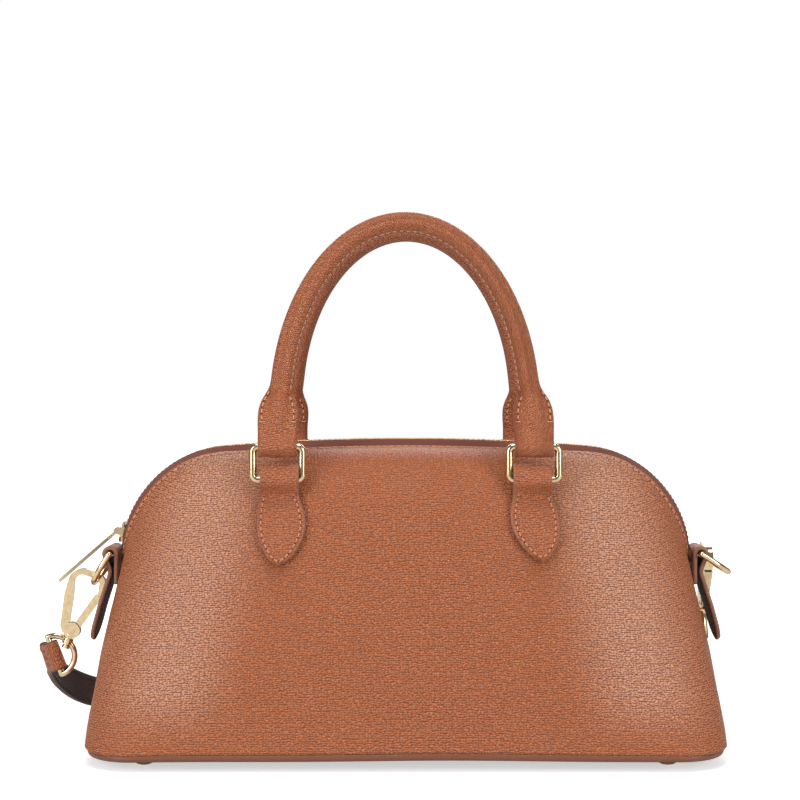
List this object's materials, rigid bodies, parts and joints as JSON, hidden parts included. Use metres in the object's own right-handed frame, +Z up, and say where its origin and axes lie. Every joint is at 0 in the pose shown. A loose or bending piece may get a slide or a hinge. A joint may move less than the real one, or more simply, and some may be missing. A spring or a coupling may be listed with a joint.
{
  "type": "half moon bag",
  "caption": "Domed half moon handbag in tan grained leather with a gold zip, two rolled handles on rings, side tabs and a clip-on shoulder strap.",
  "frame": {"origin": "on the floor under the middle of the base", "axes": "+Z up, +X to the right of the front, -Y towards the front"},
  "size_m": [0.3645, 0.1828, 0.2729],
  "materials": {
    "tan_leather": "pebble grained, satin",
    "lining_cloth": "plain weave, matt",
    "zip_cloth": "woven tape, matt",
    "gold_metal": "pale gold plate, polished",
    "stiff_board": "fibre board, hidden"
  },
  "bodies": {
    "bag": {"front_panel": "tan_leather", "back_panel": "tan_leather", "base_panel": "tan_leather", "base_board": "stiff_board", "base_feet": "gold_metal", "lining_front": "lining_cloth", "lining_back": "lining_cloth", "lining_floor": "lining_cloth", "zip_tape_front": "zip_cloth", "zip_tape_back": "zip_cloth", "zip_teeth_front": "gold_metal", "zip_teeth_back": "gold_metal", "zip_stops": "gold_metal", "tab_front_left": "tan_leather", "tab_front_right": "tan_leather", "tab_back_left": "tan_leather", "tab_back_right": "tan_leather", "side_tab_left": "tan_leather", "side_tab_right": "tan_leather", "strap_run_left": "tan_leather", "strap_run_right": "tan_leather", "strap_long": "tan_leather", "strap_short": "tan_leather", "buckle_frame": "gold_metal", "strap_keeper": "tan_leather"},
    "slider": {"zip_slider": "gold_metal"},
    "puller": {"zip_puller": "gold_metal"},
    "front_left_ring": {"ring_front_left": "gold_metal"},
    "front_right_ring": {"ring_front_right": "gold_metal"},
    "front_carry": {"front_handle": "tan_leather", "front_handle_core": "stiff_board", "front_handle_ends": "tan_leather"},
    "back_left_ring": {"ring_back_left": "gold_metal"},
    "back_right_ring": {"ring_back_right": "gold_metal"},
    "back_carry": {"back_handle": "tan_leather", "back_handle_core": "stiff_board", "back_handle_ends": "tan_leather"},
    "left_link": {"d_ring_left": "gold_metal", "strap_ring_left": "gold_metal", "strap_end_left": "tan_leather"},
    "left_hook": {"clasp_hook_left": "gold_metal", "gate_pin_left": "gold_metal"},
    "left_gate": {"clasp_gate_left": "gold_metal"},
    "right_link": {"d_ring_right": "gold_metal", "strap_ring_right": "gold_metal", "strap_end_right": "tan_leather"},
    "right_hook": {"clasp_hook_right": "gold_metal", "gate_pin_right": "gold_metal"},
    "right_gate": {"clasp_gate_right": "gold_metal"},
    "prong": {"buckle_prong": "gold_metal"}
  },
  "joints": [
    {"name": "zip_travel", "type": "hinge", "parent": "bag", "child": "slider", "pos_m": [-0.08799, 0, 0.0955], "axis": [0, 1, 0], "range_deg": [0, 68], "deforming": ["zip_teeth_front", "zip_teeth_back"]},
    {"name": "puller_swing", "type": "hinge", "parent": "slider", "child": "puller", "pos_m": [-0.14927, 0, 0.11033], "axis": [0, 1, 0], "range_deg": [0, 110]},
    {"name": "front_left_ring_swing", "type": "hinge", "parent": "bag", "child": "front_left_ring", "pos_m": [-0.063, -0.0413, 0.1388], "axis": [1, 0, 0], "range_deg": [0, 60]},
    {"name": "front_right_ring_swing", "type": "hinge", "parent": "bag", "child": "front_right_ring", "pos_m": [0.063, -0.0413, 0.1388], "axis": [1, 0, 0], "range_deg": [0, 60]},
    {"name": "front_handle_fold", "type": "hinge", "parent": "front_left_ring", "child": "front_carry", "pos_m": [-0.063, -0.0413, 0.155], "axis": [1, 0, 0], "range_deg": [-5, 60]},
    {"name": "back_left_ring_swing", "type": "hinge", "parent": "bag", "child": "back_left_ring", "pos_m": [-0.063, 0.0413, 0.1388], "axis": [-1, 0, 0], "range_deg": [0, 60]},
    {"name": "back_right_ring_swing", "type": "hinge", "parent": "bag", "child": "back_right_ring", "pos_m": [0.063, 0.0413, 0.1388], "axis": [-1, 0, 0], "range_deg": [0, 60]},
    {"name": "back_handle_fold", "type": "hinge", "parent": "back_left_ring", "child": "back_carry", "pos_m": [-0.063, 0.0413, 0.155], "axis": [-1, 0, 0], "range_deg": [-5, 60]},
    {"name": "left_dee_swing", "type": "hinge", "parent": "bag", "child": "left_link", "pos_m": [-0.1514, 0, 0.0992], "axis": [0, 1, 0], "range_deg": [0, 1], "deforming": ["strap_run_left"]},
    {"name": "left_swivel", "type": "hinge", "parent": "left_link", "child": "left_hook", "pos_m": [-0.1764, 0, 0.0488], "axis": [0.304, 0, 0.9527], "range_deg": [-12, 12]},
    {"name": "left_gate_press", "type": "hinge", "parent": "left_hook", "child": "left_gate", "pos_m": [-0.17203, 0, 0.05824], "axis": [0, -1, 0], "range_deg": [0, 18], "stiffness_Nm_per_rad": 0.02, "springref_deg": -11.46},
    {"name": "right_dee_swing", "type": "hinge", "parent": "bag", "child": "right_link", "pos_m": [0.1514, 0, 0.0992], "axis": [0, -1, 0], "range_deg": [0, 30], "deforming": ["strap_run_right"]},
    {"name": "right_swivel", "type": "hinge", "parent": "right_link", "child": "right_hook", "pos_m": [0.1586, 0.0243, 0.0607], "axis": [0, -0.2588, 0.9659], "range_deg": [-3, 8]},
    {"name": "right_gate_press", "type": "hinge", "parent": "right_hook", "child": "right_gate", "pos_m": [0.1586, 0.02038, 0.07033], "axis": [-1, 0, 0], "range_deg": [0, 18], "stiffness_Nm_per_rad": 0.02, "springref_deg": -11.46},
    {"name": "prong_lift", "type": "hinge", "parent": "bag", "child": "prong", "pos_m": [0, 0.10176, 0.0111], "axis": [0, 0, -1], "range_deg": [0, 5]}
  ],
  "couplings": [
    {"joint": "front_right_ring_swing", "follows": "front_left_ring_swing", "ratio": 1},
    {"joint": "back_right_ring_swing", "follows": "back_left_ring_swing", "ratio": 1}
  ]
}
